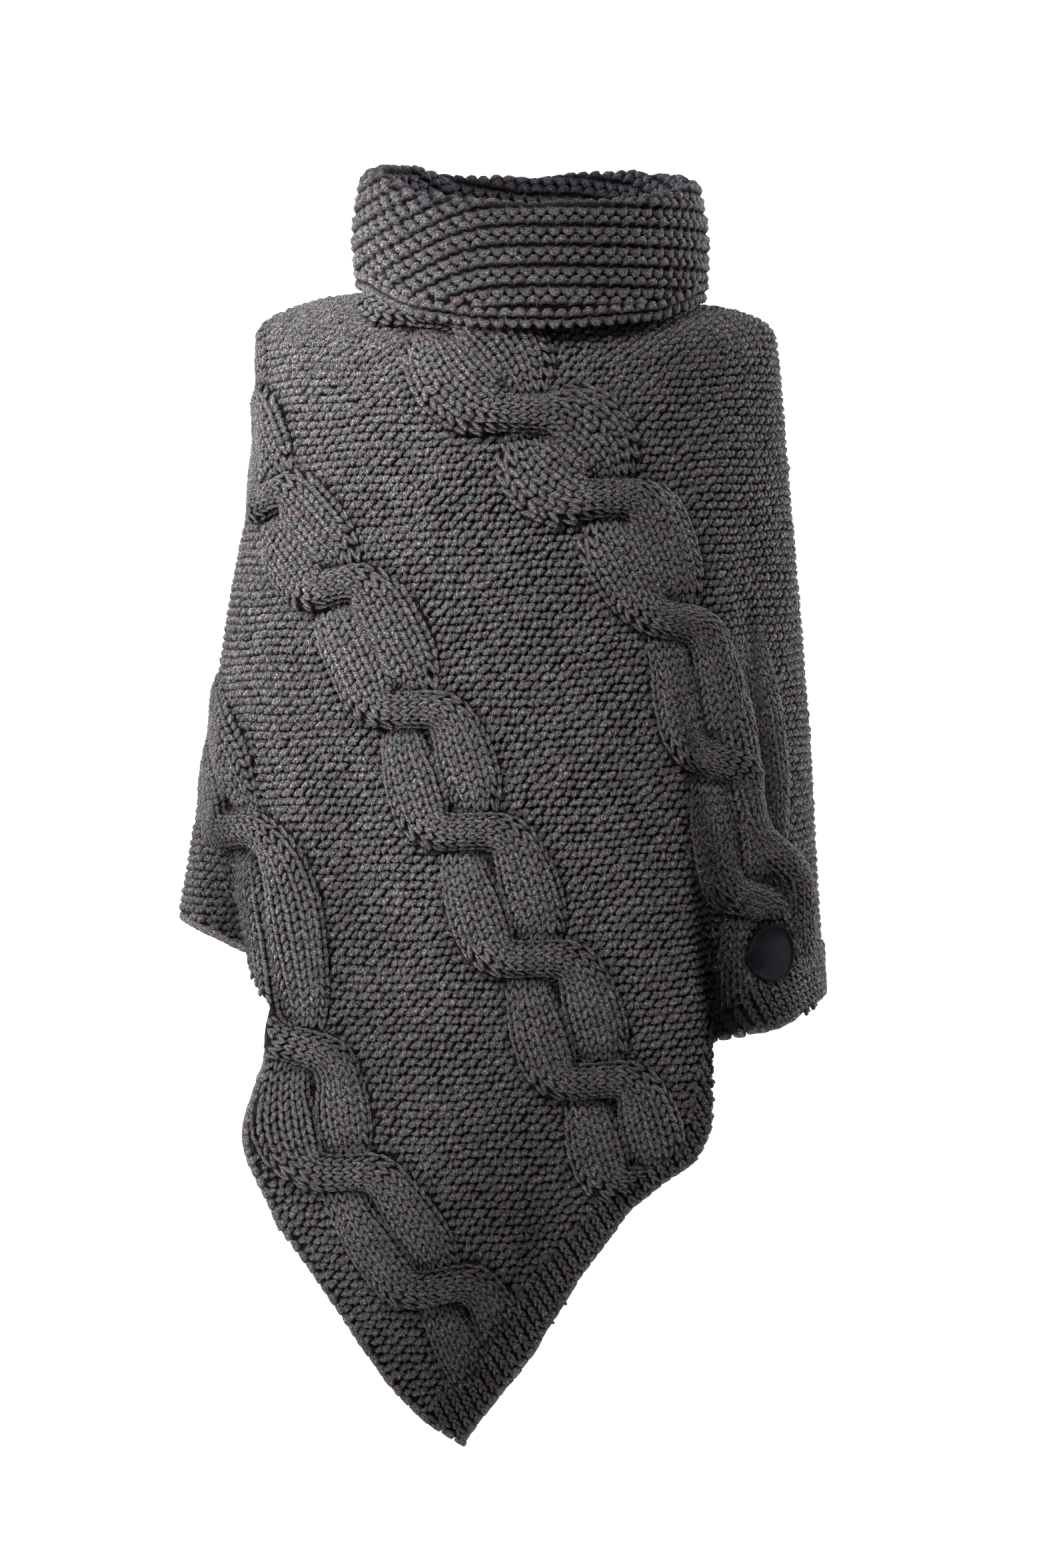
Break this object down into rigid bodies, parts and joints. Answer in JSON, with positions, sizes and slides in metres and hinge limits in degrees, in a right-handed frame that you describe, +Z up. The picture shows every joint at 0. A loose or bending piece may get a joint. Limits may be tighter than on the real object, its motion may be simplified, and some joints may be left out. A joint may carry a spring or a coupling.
{
  "type": "cable-knit poncho sweater with a folded cowl",
  "caption": "Slanted knitted poncho with raised rope cables, one long front corner, a folded ridged cowl and a small round sewn-on badge, in worn form and open at neck and hem.",
  "frame": {"origin": "centre of the neck opening at the height of the cowl seam, where the garment hangs on its wearer", "axes": "+Z up along the wearer, +X to the wearer's left, the front of the garment faces -Y"},
  "size_m": [0.4827, 0.3196, 0.9374],
  "materials": {
    "wrap": "bulky heather-charcoal knit, reverse stockinette ground with stockinette rope cables and a ribbed end",
    "cowl": "bulky heather-charcoal garter-stitch knit",
    "badge": "black woven twill with an overcast edge"
  },
  "bodies": {
    "root": {"wrap": "wrap", "cowl": "cowl", "badge": "badge"}
  },
  "joints": []
}
